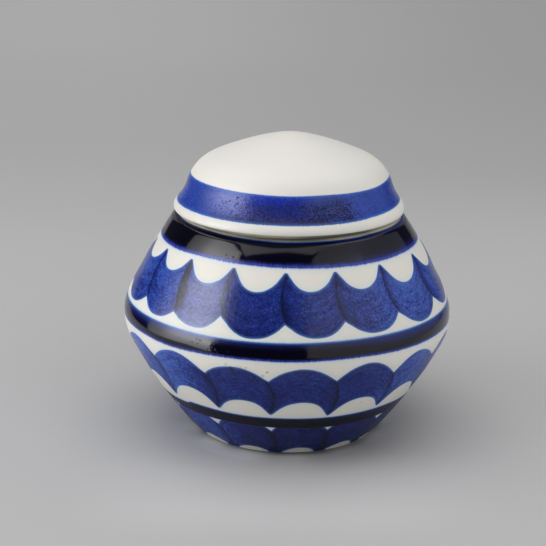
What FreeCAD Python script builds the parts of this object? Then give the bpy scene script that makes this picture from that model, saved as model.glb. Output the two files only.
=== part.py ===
import FreeCAD, Part
import os

# Lidded round jar in fired, glazed ceramic: a pot of two joined cones with a soft waist,
# and a loose dome lid, resting on the lip with a small gap.
# Millimetres, +Z up. The origin is the centre of the foot ring, on the plane the jar stands on.
# Both pieces are solids of revolution about Z, drawn as profiles of (radius, height) points.

# ---------------------------------------------------------------- jar dimensions
BODY_RADIUS = 75.0          # at the waist, the widest place of the object
WALL = 4.8                  # measured square to the surface

FOOT_RADIUS = 42.1          # nominal outer radius at the table, before the edge is eased
FOOT_EDGE_INSET = 0.3       # from the foot radius in to the flat of the ring
FOOT_RING_WIDTH = 3.6       # flat ring the jar stands on
FOOT_EASE = 0.6             # eased inner edge of the ring
FOOT_COVE = 2.0             # radius between the ring and the hollow
FOOT_RECESS = FOOT_EASE + FOOT_COVE     # depth of the hollow under the base
BASE_THICKNESS = 6.4        # floor above the hollow
FLOOR_HEIGHT = FOOT_RECESS + BASE_THICKNESS

MOUTH_RADIUS = 46.0         # clear radius of the mouth
MOUTH_ROUND = 0.9           # rounding between the throat and the lip
LIP_TOP = 101.1             # height of the flat top of the lip, the seat of the lid
LIP_FLAT_OUTER = 48.4       # outer radius of the flat part of the lip
THROAT_DEPTH = 3.6          # from the lip top down to the lower end of the straight throat

# Heights between which the inside follows the outside.
WALL_BOTTOM = FLOOR_HEIGHT + 4.5
WALL_TOP = LIP_TOP - 9.0

# Outside of the jar, as (radius, height), from the foot to the start of the lip.
JAR_PROFILE = [
    (42.75, 0.9), (45.05, 3.0), (50.05, 9.0), (57.20, 18.75), (64.65, 30.0), (70.88, 41.25),
    (74.25, 48.75), (74.90, 52.5), (BODY_RADIUS, 55.5), (74.85, 58.5), (73.40, 63.0),
    (71.65, 67.5), (67.75, 75.0), (64.10, 82.5), (59.45, 90.0), (55.70, 96.0), (53.55, 99.1),
]
# Rolled lip, as (radius, height), from the shoulder up to its flat top.
LIP_PROFILE = [
    JAR_PROFILE[-1], (52.70, 99.8), (51.55, 100.4), (50.35, 100.8), (49.30, 101.02),
    (LIP_FLAT_OUTER, LIP_TOP),
]

# ---------------------------------------------------------------- lid dimensions
SEAT_GAP = 0.05             # air between the lip and the underside of the lid
SEAT = LIP_TOP + SEAT_GAP   # height of the flat underside of the lid
RIM_RADIUS = 52.6           # widest radius of the lid, its rolled rim
RIM_HEIGHT = 104.2          # height of the widest place of the rim
LID_TOP = 137.75            # height of the crown
LID_WALL = 4.6              # measured square to the surface
HOLLOW_BOTTOM = 112.5       # height above which the inside follows the outside
HOLLOW_MIN_RADIUS = 2.5     # the inside follows the outside only beyond this radius

FLANGE_CLEARANCE = 0.8      # radial play between the locating flange and the mouth
FLANGE_DEPTH = 6.8          # reach of the flange below the seat
FLANGE_WIDTH = 3.4
FLANGE_ROUND = 0.6          # rounding where the flange meets the seat
FLANGE_TAPER = 0.5          # how far the outer wall leans in towards the tip
FLANGE_TIP = 1.4            # height of the rounded tip
FLANGE_OUTER = MOUTH_RADIUS - FLANGE_CLEARANCE
FLANGE_INNER = FLANGE_OUTER - FLANGE_WIDTH
FLANGE_BOTTOM = SEAT - FLANGE_DEPTH

# Outside of the lid, as (radius, height), from the widest place of the rim to the crown.
LID_PROFILE = [
    (RIM_RADIUS, RIM_HEIGHT), (52.30, 105.35), (51.10, 107.00), (49.55, 108.95),
    (48.08, 111.35), (46.88, 114.00), (45.85, 117.00), (44.65, 119.35), (42.35, 122.60),
    (38.20, 126.00), (32.40, 128.75), (22.30, 132.50), (9.75, 136.25), (3.75, 137.45),
    (0.0, LID_TOP),
]
# Underside of the rolled rim, as (radius, height), from the widest place down to the flat.
UNDER_RIM_PROFILE = [
    (RIM_RADIUS, RIM_HEIGHT), (52.42, 103.50), (51.95, 103.02), (51.15, 102.66),
    (49.95, 102.02), (48.60, SEAT),
]


# ---------------------------------------------------------------- profile helpers
def point(radius, height):
    return FreeCAD.Vector(radius, 0.0, height)


def spline(points, start=None, end=None):
    """A smooth edge through the points; give both end directions or neither."""
    vectors = [point(*p) for p in points]
    run = [0.0]     # distance along the chords, so uneven spacing doesn't make the curve bulge
    for a, b in zip(vectors, vectors[1:]):
        run.append(run[-1] + a.distanceToPoint(b))
    curve = Part.BSplineCurve()
    if start is None:
        curve.interpolate(Points=vectors, Parameters=run)
    else:
        curve.interpolate(Points=vectors, Parameters=run,
                          InitialTangent=point(*start).normalize(),
                          FinalTangent=point(*end).normalize(), Scale=False)
    return curve.toShape()


def line(a, b):
    return Part.makeLine(point(*a), point(*b))


def arc(start, middle, end):
    return Part.Arc(point(*start), point(*middle), point(*end)).toShape()


def quarter_round(start, corner, end):
    """A quarter circle that replaces the square corner between start and end."""
    share = 1.0 - 0.5 ** 0.5
    middle = [c + share * (s - c) + share * (e - c) for s, c, e in zip(start, corner, end)]
    return arc(start, middle, end)


def offset_left(edge, count, distance):
    """Evenly spaced points along an edge, each moved square to it, to the left of its run."""
    moved = []
    for i in range(count):
        t = edge.getParameterByLength(edge.Length * i / (count - 1))
        t = min(max(t, edge.FirstParameter), edge.LastParameter)
        place, direction = edge.valueAt(t), edge.tangentAt(t)
        moved.append((place.x - distance * direction.z, place.z + distance * direction.x))
    return moved


def turned(edges):
    """The solid made by turning a closed profile once round Z."""
    wire = Part.Wire(Part.__sortEdges__(edges))
    solid = Part.Face(wire).revolve(FreeCAD.Vector(0, 0, 0), FreeCAD.Vector(0, 0, 1), 360)
    # The run of the profile can leave the solid inside out.
    if solid.Volume < 0:
        solid.reverse()
    return solid


# ---------------------------------------------------------------- jar
def foot_edges():
    """Flat ring with eased edges, and a shallow hollow under the base."""
    ring_out = FOOT_RADIUS - FOOT_EDGE_INSET
    ring_in = ring_out - FOOT_RING_WIDTH
    cove_out = ring_in - FOOT_EASE
    cove_in = cove_out - FOOT_COVE
    return [
        line((cove_in, FOOT_RECESS), (0.0, FOOT_RECESS)),
        quarter_round((cove_out, FOOT_EASE), (cove_out, FOOT_RECESS), (cove_in, FOOT_RECESS)),
        arc((ring_in, 0.0), (ring_in - 0.42, 0.18), (cove_out, FOOT_EASE)),
        line((ring_in, 0.0), (ring_out, 0.0)),
        arc((ring_out, 0.0), (FOOT_RADIUS + 0.32, 0.28), JAR_PROFILE[0]),
    ]


def build_jar():
    outer = spline(JAR_PROFILE)
    shoulder = outer.tangentAt(outer.LastParameter)
    lip = spline(LIP_PROFILE, start=(shoulder.x, shoulder.z), end=(-1.0, 0.0))

    # Every second offset point is enough, with the last one always kept.
    wall = [p for p in offset_left(outer, 40, WALL) if WALL_BOTTOM <= p[1] <= WALL_TOP]
    wall = wall[:-1:2] + wall[-1:]

    # The floor curves up into the wall, and the wall into the straight throat of the mouth.
    corner_radius = wall[0][0]
    floor = [(0.0, FLOOR_HEIGHT), (corner_radius * 0.55, FLOOR_HEIGHT),
             (corner_radius * 0.80, FLOOR_HEIGHT + 0.55)]
    throat_low = (MOUTH_RADIUS, LIP_TOP - THROAT_DEPTH)
    throat_high = (MOUTH_RADIUS, LIP_TOP - MOUTH_ROUND)
    lip_inner = (MOUTH_RADIUS + MOUTH_ROUND, LIP_TOP)
    cavity = spline(floor + wall + [(MOUTH_RADIUS + 1.0, LIP_TOP - 6.2), throat_low],
                    start=(1.0, 0.0), end=(0.0, 1.0))

    return turned([
        outer,
        lip,
        line(lip_inner, LIP_PROFILE[-1]),
        quarter_round(throat_high, (MOUTH_RADIUS, LIP_TOP), lip_inner),
        line(throat_low, throat_high),
        cavity,
        line((0.0, FOOT_RECESS), (0.0, FLOOR_HEIGHT)),
    ] + foot_edges())


# ---------------------------------------------------------------- lid
def build_lid():
    dome = spline(LID_PROFILE, start=(0.0, 1.0), end=(-1.0, -0.03))
    under_rim = spline(UNDER_RIM_PROFILE, start=(0.0, -1.0), end=(-1.0, -0.55))

    # Locating flange: a leaning outer wall and a rounded tip.
    root_out = (FLANGE_OUTER + FLANGE_ROUND, SEAT)
    root_low = (FLANGE_OUTER, SEAT - FLANGE_ROUND)
    tip_out = (FLANGE_OUTER - FLANGE_TAPER, FLANGE_BOTTOM + FLANGE_TIP)
    tip_in = (FLANGE_INNER, FLANGE_BOTTOM + FLANGE_TIP)
    tip = spline([tip_out, (FLANGE_OUTER - 0.9, FLANGE_BOTTOM + 0.35),
                  (FLANGE_OUTER - 1.75, FLANGE_BOTTOM),
                  (FLANGE_INNER + 0.35, FLANGE_BOTTOM + 0.35), tip_in],
                 start=(-0.08, -1.0), end=(0.0, 1.0))

    # The inside rises from the flange, then follows the outside up to the crown.
    hollow = [(r, z) for r, z in offset_left(dome, 46, LID_WALL)
              if z >= HOLLOW_BOTTOM and HOLLOW_MIN_RADIUS < r < FLANGE_INNER - 0.4]
    crown_inside = (0.0, LID_TOP - LID_WALL)
    inner_dome = spline([tip_in, (FLANGE_INNER - 0.15, SEAT + 1.0)] + hollow[::2] + [crown_inside],
                        start=(0.0, 1.0), end=(-1.0, 0.0))

    return turned([
        dome,
        under_rim,
        line(UNDER_RIM_PROFILE[-1], root_out),
        quarter_round(root_out, (FLANGE_OUTER, SEAT), root_low),
        line(root_low, tip_out),
        tip,
        inner_dome,
        line(crown_inside, LID_PROFILE[-1]),
    ])


os.makedirs("parts", exist_ok=True)
build_jar().exportStep("parts/jar.step")
build_lid().exportStep("parts/lid.step")
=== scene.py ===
"""A lidded round jar in glazed, hand-painted ceramic: the jar and its loose dome lid.

The jar stands on z = 0 about the Z axis, with the camera on its -Y side. Profiles are in
millimetres; painted heights are in waist radii. Angles round the pot are in degrees, 0 at
the front (-Y) and growing to the right (+X). Each piece is a finely turned solid that
stands for the coarser CAD node.
"""
import math
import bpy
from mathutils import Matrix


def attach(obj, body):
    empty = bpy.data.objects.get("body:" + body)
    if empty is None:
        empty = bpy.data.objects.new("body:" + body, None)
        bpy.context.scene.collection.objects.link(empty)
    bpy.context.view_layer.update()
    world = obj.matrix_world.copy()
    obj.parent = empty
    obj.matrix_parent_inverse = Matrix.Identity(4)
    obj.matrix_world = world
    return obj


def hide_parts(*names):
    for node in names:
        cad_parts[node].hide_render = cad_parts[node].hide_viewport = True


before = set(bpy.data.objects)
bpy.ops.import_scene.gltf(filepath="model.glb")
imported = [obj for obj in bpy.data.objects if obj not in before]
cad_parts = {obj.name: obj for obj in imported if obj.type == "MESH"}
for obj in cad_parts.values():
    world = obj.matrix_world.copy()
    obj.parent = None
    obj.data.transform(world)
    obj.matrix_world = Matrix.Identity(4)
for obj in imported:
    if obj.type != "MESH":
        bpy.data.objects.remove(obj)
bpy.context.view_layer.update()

from types import SimpleNamespace

import bpy
import numpy as np
from mathutils import Matrix, Vector

MM = 0.001
WAIST = 75.0            # waist radius, mm
SEGMENTS = 288          # steps round each turned piece
DEGREES = 180.0 / math.pi
UNIT = (0.0, 1.0)


# ---------------------------------------------------------------------------------------
# Curves for profiles
# ---------------------------------------------------------------------------------------
def run_along(points):
    """The distance along a line of points, at each of them."""
    return np.concatenate([[0.0], np.cumsum(np.hypot(*np.diff(points, axis=0).T))])


def cubic(points, count, start=None, end=None):
    """Points on the cubic through the given ones, with natural ends or given end directions."""
    knots = np.array(points, float)
    along = run_along(knots)
    gap = np.diff(along)
    slope = np.diff(knots, axis=0) / gap[:, None]
    size = len(knots)
    system = np.zeros((size, size))
    target = np.zeros((size, 2))
    system[0, 0] = system[-1, -1] = 1
    for i in range(1, size - 1):
        system[i, i - 1:i + 2] = gap[i - 1], 2 * (gap[i - 1] + gap[i]), gap[i]
        target[i] = 6 * (slope[i] - slope[i - 1])
    if start is not None:
        system[0, :2] = 2 * gap[0], gap[0]
        target[0] = 6 * (slope[0] - np.array(start, float) / np.hypot(*start))
    if end is not None:
        system[-1, -2:] = gap[-1], 2 * gap[-1]
        target[-1] = 6 * (np.array(end, float) / np.hypot(*end) - slope[-1])
    bend = np.linalg.solve(system, target)
    out = []
    for x in np.linspace(0, along[-1], count):
        i = min(int(np.searchsorted(along, x, side="right")) - 1, size - 2)
        left, past, h = along[i + 1] - x, x - along[i], gap[i]
        out.append((bend[i] * left ** 3 + bend[i + 1] * past ** 3) / (6 * h)
                   + (knots[i] / h - bend[i] * h / 6) * left
                   + (knots[i + 1] / h - bend[i + 1] * h / 6) * past)
    return np.array(out)


def arc_through(first, middle, last, count):
    """Points on the circle through three points, from the first to the last."""
    (x1, y1), (x2, y2), (x3, y3) = first, middle, last
    s1, s2, s3 = (x ** 2 + y ** 2 for x, y in (first, middle, last))
    area_term = 2 * (x1 * (y2 - y3) + x2 * (y3 - y1) + x3 * (y1 - y2))
    cx = (s1 * (y2 - y3) + s2 * (y3 - y1) + s3 * (y1 - y2)) / area_term
    cy = (s1 * (x3 - x2) + s2 * (x1 - x3) + s3 * (x2 - x1)) / area_term
    radius = math.hypot(x1 - cx, y1 - cy)
    turns = np.unwrap([math.atan2(y - cy, x - cx) for x, y in (first, middle, last)])
    return np.array([(cx + radius * math.cos(t), cy + radius * math.sin(t))
                     for t in np.linspace(turns[0], turns[2], count)])


def respace(points, step):
    """Points spaced evenly along the curve, about step apart."""
    run = run_along(points)
    count = max(2, int(round(run[-1] / step)) + 1)
    places = np.linspace(0, run[-1], count)
    return np.stack([np.interp(places, run, points[:, k]) for k in (0, 1)], 1)


def join(*parts):
    """The parts as one line, without repeated points."""
    out = [parts[0][0]]
    for part in parts:
        for q in part:
            if math.hypot(q[0] - out[-1][0], q[1] - out[-1][1]) > 1e-4:
                out.append(q)
    return np.array(out, float)


def offset(curve, distance):
    """The curve moved sideways, to the left of its direction."""
    d = np.gradient(curve, axis=0)
    d /= np.hypot(d[:, 0], d[:, 1])[:, None]
    return np.stack([curve[:, 0] - distance * d[:, 1], curve[:, 1] + distance * d[:, 0]], 1)


def run_at(profile, found):
    """The run at the profile's first point that is marked as found."""
    return float(run_along(profile)[np.argmax(found)])


# ---------------------------------------------------------------------------------------
# Profiles: (radius, height) in mm
# ---------------------------------------------------------------------------------------
WALL, BASE_THICKNESS = 4.8, 6.4
MOUTH_RADIUS, LIP_TOP, LIP_FLAT_OUTER = 46.0, 101.1, 48.4
FOOT_RADIUS, FOOT_RING_WIDTH, FOOT_RECESS = 42.1, 3.6, 2.6
RING_OUTER = FOOT_RADIUS - 0.3          # the flat of the foot ring
RING_INNER = RING_OUTER - FOOT_RING_WIDTH
JAR_OUTLINE = [
    (42.75, 0.9), (45.05, 3.0), (50.05, 9.0), (57.20, 18.75), (64.65, 30.0), (70.88, 41.25),
    (74.25, 48.75), (74.90, 52.5), (WAIST, 55.5), (74.85, 58.5), (73.40, 63.0), (71.65, 67.5),
    (67.75, 75.0), (64.10, 82.5), (59.45, 90.0), (55.70, 96.0), (53.55, 99.1)]
LIP_OUTLINE = [
    JAR_OUTLINE[-1], (52.70, 99.8), (51.55, 100.4), (50.35, 100.8), (49.30, 101.02),
    (LIP_FLAT_OUTER, LIP_TOP)]

SEAT = LIP_TOP + 0.05                   # underside of the lid, just clear of the lip
LID_TOP, LID_WALL = 137.75, 4.6
FLANGE_OUTER = MOUTH_RADIUS - 0.8       # with its clearance in the mouth
FLANGE_INNER = FLANGE_OUTER - 3.4
FLANGE_LOW = SEAT - 6.8
LID_SHIFT = 0.10                        # mm: the loose lid sits off centre towards +X
LID_RIM = (52.6, 104.2)
LID_OUTLINE = [
    LID_RIM, (52.30, 105.35), (51.10, 107.00), (49.55, 108.95), (48.08, 111.35), (46.88, 114.00),
    (45.85, 117.00), (44.65, 119.35), (42.35, 122.60), (38.20, 126.00), (32.40, 128.75),
    (22.30, 132.50), (9.75, 136.25), (3.75, 137.45), (0.0, LID_TOP)]
UNDER_RIM_OUTLINE = [
    LID_RIM, (52.42, 103.50), (51.95, 103.02), (51.15, 102.66), (49.95, 102.02), (48.60, SEAT)]


def jar_profile():
    """From the axis out under the foot, up the outside, over the lip and down the inside."""
    outer = cubic(JAR_OUTLINE, 900)
    lip = cubic(LIP_OUTLINE, 120, start=outer[-1] - outer[-2], end=(-1, 0))
    floor = FOOT_RECESS + BASE_THICKNESS
    inner = offset(outer, WALL)
    inner = inner[(inner[:, 1] >= floor + 4.5) & (inner[:, 1] <= LIP_TOP - 9.0)]
    inner = np.vstack([inner[:-20:36], inner[-1:]])
    corner = inner[0][0]
    cavity = cubic([(0.0, floor), (corner * 0.55, floor), (corner * 0.80, floor + 0.55), *inner,
                    (MOUTH_RADIUS + 1.0, LIP_TOP - 6.2), (MOUTH_RADIUS, LIP_TOP - 3.6)],
                   500, start=(1, 0), end=(0, 1))
    throat = arc_through((MOUTH_RADIUS, LIP_TOP - 0.9), (MOUTH_RADIUS + 0.264, LIP_TOP - 0.264),
                         (MOUTH_RADIUS + 0.9, LIP_TOP), 7)
    foot_edge = arc_through((RING_OUTER, 0.0), (FOOT_RADIUS + 0.32, 0.28), JAR_OUTLINE[0], 7)
    ring_edge = arc_through((RING_INNER, 0.0), (RING_INNER - 0.42, 0.18),
                            (RING_INNER - 0.6, 0.6), 5)
    cove = arc_through((RING_INNER - 0.6, 0.6), (RING_INNER - 1.186, FOOT_RECESS - 0.586),
                       (RING_INNER - 2.6, FOOT_RECESS), 6)
    under = join([(0.0, FOOT_RECESS), (12.0, FOOT_RECESS), (24.0, FOOT_RECESS)], cove[::-1],
                 ring_edge[::-1], [(RING_INNER + 1.2, 0.0), (RING_INNER + 2.4, 0.0),
                                   (RING_OUTER, 0.0)])
    outside = join(foot_edge, respace(outer, 0.68), respace(lip, 0.30))
    inside = join(respace(cavity, 2.2), [(MOUTH_RADIUS, LIP_TOP - 2.2)], throat)
    return join(under, outside, [(47.9, LIP_TOP), (47.4, LIP_TOP)], inside[::-1])


def lid_profile():
    """From the axis down the inside, round the flange, out under the rim and up the dome."""
    dome = cubic(LID_OUTLINE, 900, start=(0, 1), end=(-1, -0.03))
    under = cubic(UNDER_RIM_OUTLINE, 60, start=(0, -1), end=(-1, -0.55))
    root = arc_through((FLANGE_OUTER + 0.6, SEAT), (FLANGE_OUTER + 0.176, SEAT - 0.176),
                       (FLANGE_OUTER, SEAT - 0.6), 5)
    tip_outer = (FLANGE_OUTER - 0.5, FLANGE_LOW + 1.4)
    tip_inner = (FLANGE_INNER, FLANGE_LOW + 1.4)
    tip = cubic([tip_outer, (FLANGE_OUTER - 0.9, FLANGE_LOW + 0.35),
                 (FLANGE_OUTER - 1.75, FLANGE_LOW), (FLANGE_INNER + 0.35, FLANGE_LOW + 0.35),
                 tip_inner], 26, start=(-0.08, -1), end=(0, 1))
    hollow = offset(dome, LID_WALL)
    hollow = hollow[(hollow[:, 1] >= 112.5) & (hollow[:, 0] > 2.5)
                    & (hollow[:, 0] < FLANGE_INNER - 0.4)][::40]
    inner = cubic([tip_inner, (FLANGE_INNER - 0.15, SEAT + 1.0), *hollow,
                   (0.0, LID_TOP - LID_WALL)], 300, start=(0, 1), end=(-1, 0))
    return join(respace(inner, 1.6)[::-1], tip[::-1][1:-1],
                [tip_outer, (FLANGE_OUTER - 0.25, FLANGE_LOW + 3.6)], root[::-1],
                [(47.0, SEAT), (48.0, SEAT)], under[::-1][::4], respace(dome, 0.55))


JAR = jar_profile()
LID = lid_profile()
# Runs (mm along the profile) that part painted, glazed and bare surfaces.
LIP_RUN = run_at(JAR, (abs(JAR[:, 0] - LIP_FLAT_OUTER) < 0.06) & (JAR[:, 1] > 101.0))
FOOT_RUN = run_at(JAR, (abs(JAR[:, 0] - RING_OUTER) < 1e-3) & (JAR[:, 1] < 0.01))
RIM_RUN = run_at(LID, LID[:, 0] == LID[:, 0].max())
SEAT_RUN = run_at(LID, abs(LID[:, 0] - 47.0) < 1e-6)


# ---------------------------------------------------------------------------------------
# Meshes
# ---------------------------------------------------------------------------------------
def push_out(verts, radius, distance):
    verts[:, :2] *= ((radius + distance) / np.maximum(radius, 1e-6))[:, None]


def jar_wobble(verts, runs):
    """Hand-made unevenness: slightly out of round, least near the lip and the foot."""
    radius, turn = np.hypot(verts[:, 0], verts[:, 1]), np.arctan2(verts[:, 0], -verts[:, 1])
    z = verts[:, 2]
    inside = runs > LIP_RUN + 2.0
    swell = np.sin(np.clip(z / LIP_TOP, 0, 1) * math.pi) ** 0.8
    out = (0.10 * np.cos(2 * turn + 0.7) + 0.05 * np.cos(3 * turn + 2.1)
           + 0.03 * np.sin(5 * turn + 9.0 * z / WAIST))
    # one side is fuller at the waist and flatter on the shoulder
    side = np.clip(np.cos(turn + 1.45), 0, 1) ** 1.5
    full, flat = (np.exp(-((z - level) / 8.0) ** 2) for level in (57.5, 86.0))
    out = out + side * (0.40 * full - 0.62 * flat) / np.maximum(swell, 0.2)
    # throwing lines: nearly smoothed away outside, plain inside
    lines = np.where(inside, 0.16 * np.sin(2 * math.pi * z / 5.6 + turn),
                     0.010 * np.sin(2 * math.pi * z / 4.3 + turn))
    fade = np.where(inside, np.clip((z - 14) / 12, 0, 1) * np.clip((92 - z) / 10, 0, 1), swell)
    moved = (radius > 30.0) & (z > 1.2) & (z < 99.0)
    push_out(verts, radius, np.where(moved, swell * out + fade * lines, 0.0))
    # a faint spiral on the floor inside
    spiral = (0.13 * np.sin(2 * math.pi * radius / 7.0 - turn)
              * np.clip(radius / 8.0, 0, 1) * np.clip((36 - radius) / 8, 0, 1))
    verts[:, 2] += np.where(inside & (radius < 36.0), spiral, 0.0)


def lid_wobble(verts, runs):
    """The dome is a little out of round, its rim is flatter on the right, and it has lines inside."""
    radius, turn = np.hypot(verts[:, 0], verts[:, 1]), np.arctan2(verts[:, 0], -verts[:, 1])
    z = verts[:, 2]
    outside = runs > RIM_RUN
    swell = np.where(outside, np.clip((z - 104.5) / 6.0, 0, 1), 0.0)
    out = swell * (0.09 * np.cos(2 * turn + 2.0) + 0.05 * np.cos(3 * turn + 0.4))
    flat = 0.42 * np.clip(np.sin(turn), 0, 1) * np.exp(-((z - 104.3) / 2.2) ** 2)
    out = out - np.where(radius > 48.5, flat, 0.0)
    lines = (0.12 * np.sin(2 * math.pi * radius / 6.0 + turn)
             * np.clip((radius - 2) / 6, 0, 1) * np.clip((z - 112) / 6, 0, 1))
    push_out(verts, radius, out)
    verts[:, 2] += np.where(outside, 0.0, lines)


def link_mesh(name, mesh):
    mesh.polygons.foreach_set("use_smooth", [True] * len(mesh.polygons))
    mesh.update()
    piece = bpy.data.objects.new(name, mesh)
    bpy.context.scene.collection.objects.link(piece)
    return piece


def revolve(name, profile, wobble, shift=0.0):
    """The profile turned round Z, with the run along it kept at each vertex."""
    verts, runs, rings = [], [], []
    for (radius, z), run in zip(profile, run_along(profile)):
        count = 1 if radius < 1e-4 else SEGMENTS
        rings.append(range(len(verts), len(verts) + count))
        for j in range(count):
            turn = 2 * math.pi * j / SEGMENTS
            verts.append((radius * math.sin(turn), -radius * math.cos(turn), z))
            runs.append(run)
    faces = []
    for a, b in zip(rings, rings[1:]):
        for j in range(SEGMENTS):
            k = (j + 1) % SEGMENTS
            if len(a) == 1:
                faces.append((a[0], b[k], b[j]))
            elif len(b) == 1:
                faces.append((a[j], a[k], b[0]))
            else:
                faces.append((a[j], a[k], b[k], b[j]))
    verts, runs = np.array(verts), np.array(runs)
    wobble(verts, runs)
    verts[:, 0] += shift
    mesh = bpy.data.meshes.new(name)
    mesh.from_pydata((verts * MM).tolist(), [], faces)
    mesh.validate()
    kept_run = mesh.attributes.new("run_mm", "FLOAT", "POINT")
    kept_run.data.foreach_set("value", runs.astype(np.float32))
    return link_mesh(name, mesh)


# ---------------------------------------------------------------------------------------
# Node graphs written as expressions
# ---------------------------------------------------------------------------------------
def set_curve(node, points, handle="AUTO_CLAMPED"):
    node.mapping.use_clip = False
    curve = node.mapping.curves[0]
    while len(curve.points) < len(points):
        curve.points.new(0.5, 0.5)
    for point, location in zip(curve.points, points):
        point.location = location
        point.handle_type = handle
    node.mapping.update()


def binary(operation):
    """An operator's method, and the one for when the Value stands on its right."""
    return (lambda self, other: self.graph.math(operation, self, other),
            lambda self, other: self.graph.math(operation, other, self))


def unary(operation):
    return lambda self: self.graph.math(operation, self)


class Value:
    """A number in a node graph."""

    def __init__(self, graph, socket):
        self.graph = graph
        self.socket = socket

    __add__, __radd__ = binary("ADD")
    __sub__, __rsub__ = binary("SUBTRACT")
    __mul__, __rmul__ = binary("MULTIPLY")
    __truediv__ = binary("DIVIDE")[0]
    __pow__ = binary("POWER")[0]
    min = binary("MINIMUM")[0]
    max = binary("MAXIMUM")[0]
    abs = unary("ABSOLUTE")
    floor = unary("FLOOR")
    frac = unary("FRACT")
    sqrt = unary("SQRT")

    def __neg__(self):
        return self * -1.0

    def clamp(self):
        return self.graph.math("ADD", self, 0.0, clamp=True)

    def ramp(self, start, end, kind="SMOOTHSTEP"):
        """0 at start or before it, 1 at end or past it; start may be above end."""
        numbers = not isinstance(start, Value) and not isinstance(end, Value)
        falling = numbers and start > end
        if falling:
            start, end = end, start
        node = self.graph.node(
            "ShaderNodeMapRange", {"Value": self, "From Min": start, "From Max": end},
            interpolation_type=kind, clamp=True)
        out = Value(self.graph, node.outputs[0])
        return 1.0 - out if falling else out

    def curve(self, points, across, up, smooth=True):
        """The curve's height at this value; across and up are the ranges its points lie in."""
        (left, right), (low, high) = across, up
        node = self.graph.node(
            "ShaderNodeFloatCurve", {"Factor": 1.0, "Value": (self - left) / (right - left)})
        points = sorted(((x - left) / (right - left), (y - low) / (high - low))
                        for x, y in points)
        set_curve(node, points, "AUTO_CLAMPED" if smooth else "VECTOR")
        return Value(self.graph, node.outputs[0]) * (high - low) + low

    def around(self, points, low, high):
        """A curve of the angle that closes: (degrees, height), heights within low..high."""
        closed = {}
        for angle, y in points:
            for turn in (-360.0, 0.0, 360.0):
                if -200.0 <= angle + turn <= 200.0:
                    closed[round(angle + turn, 4)] = y
        return self.curve(sorted(closed.items()), (-200.0, 200.0), (low, high))

    def count_marks(self, marks):
        """Counts strokes round the pot: whole at the marks, linear between them."""
        marks = sorted(marks)
        points = [(mark + 360.0 * turn, i + len(marks) * turn)
                  for turn in (-1, 0, 1) for i, mark in enumerate(marks)]
        points = [(a, i) for a, i in points if -210.0 <= a <= 210.0]
        counts = [i for _, i in points]
        return self.curve(points, (-210.0, 210.0), (min(counts), max(counts)), smooth=False)

    def random(self):
        node = self.graph.node("ShaderNodeTexWhiteNoise", {"W": self}, noise_dimensions="1D")
        return Value(self.graph, node.outputs["Value"])


class Graph:
    """A material's nodes, with the place in object space as x, y and z in metres."""

    def __init__(self, name):
        self.material = bpy.data.materials.new(name)
        self.material.use_nodes = True
        self.tree = self.material.node_tree
        self.tree.nodes.clear()
        self.known = {}
        self.object = self.node("ShaderNodeTexCoord").outputs["Object"]
        split = self.node("ShaderNodeSeparateXYZ", {0: self.object})
        self.x, self.y, self.z = (Value(self, out) for out in split.outputs)

    def node(self, kind, inputs=None, **settings):
        """A new node; each input is linked to a socket or set to a number or colour."""
        node = self.tree.nodes.new(kind)
        for name, setting in settings.items():
            setattr(node, name, setting)
        for key, value in (inputs or {}).items():
            socket = node.inputs[key]
            if isinstance(value, Value):
                value = value.socket
            if isinstance(value, bpy.types.NodeSocket):
                self.tree.links.new(value, socket)
            else:
                socket.default_value = (*value, 1.0) if socket.type == "RGBA" else value
        return node

    def math(self, operation, *terms, clamp=False):
        """A math node; the same sum is built only once."""
        terms = [t.socket if isinstance(t, Value) else float(t) for t in terms]
        keys = (t if isinstance(t, float) else t.as_pointer() for t in terms)
        key = (operation, clamp, *keys)
        if key not in self.known:
            node = self.node("ShaderNodeMath", dict(enumerate(terms)),
                             operation=operation, use_clamp=clamp)
            self.known[key] = Value(self, node.outputs[0])
        return self.known[key]

    def vector(self, x, y, z):
        return self.node("ShaderNodeCombineXYZ", {0: x, 1: y, 2: z}).outputs[0]

    def noise(self, scale, detail, roughness, vector=None, lacunarity=2.0, distortion=0.0):
        node = self.node("ShaderNodeTexNoise", {
            "Vector": vector or self.object, "Scale": scale, "Detail": detail,
            "Roughness": roughness, "Lacunarity": lacunarity, "Distortion": distortion})
        return Value(self, node.outputs[0])

    def centred(self, scale, detail, roughness):
        """Noise about zero."""
        return self.noise(scale, detail, roughness) - 0.5

    def finish(self, shader):
        self.node("ShaderNodeOutputMaterial", {0: shader})
        return self.material


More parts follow.
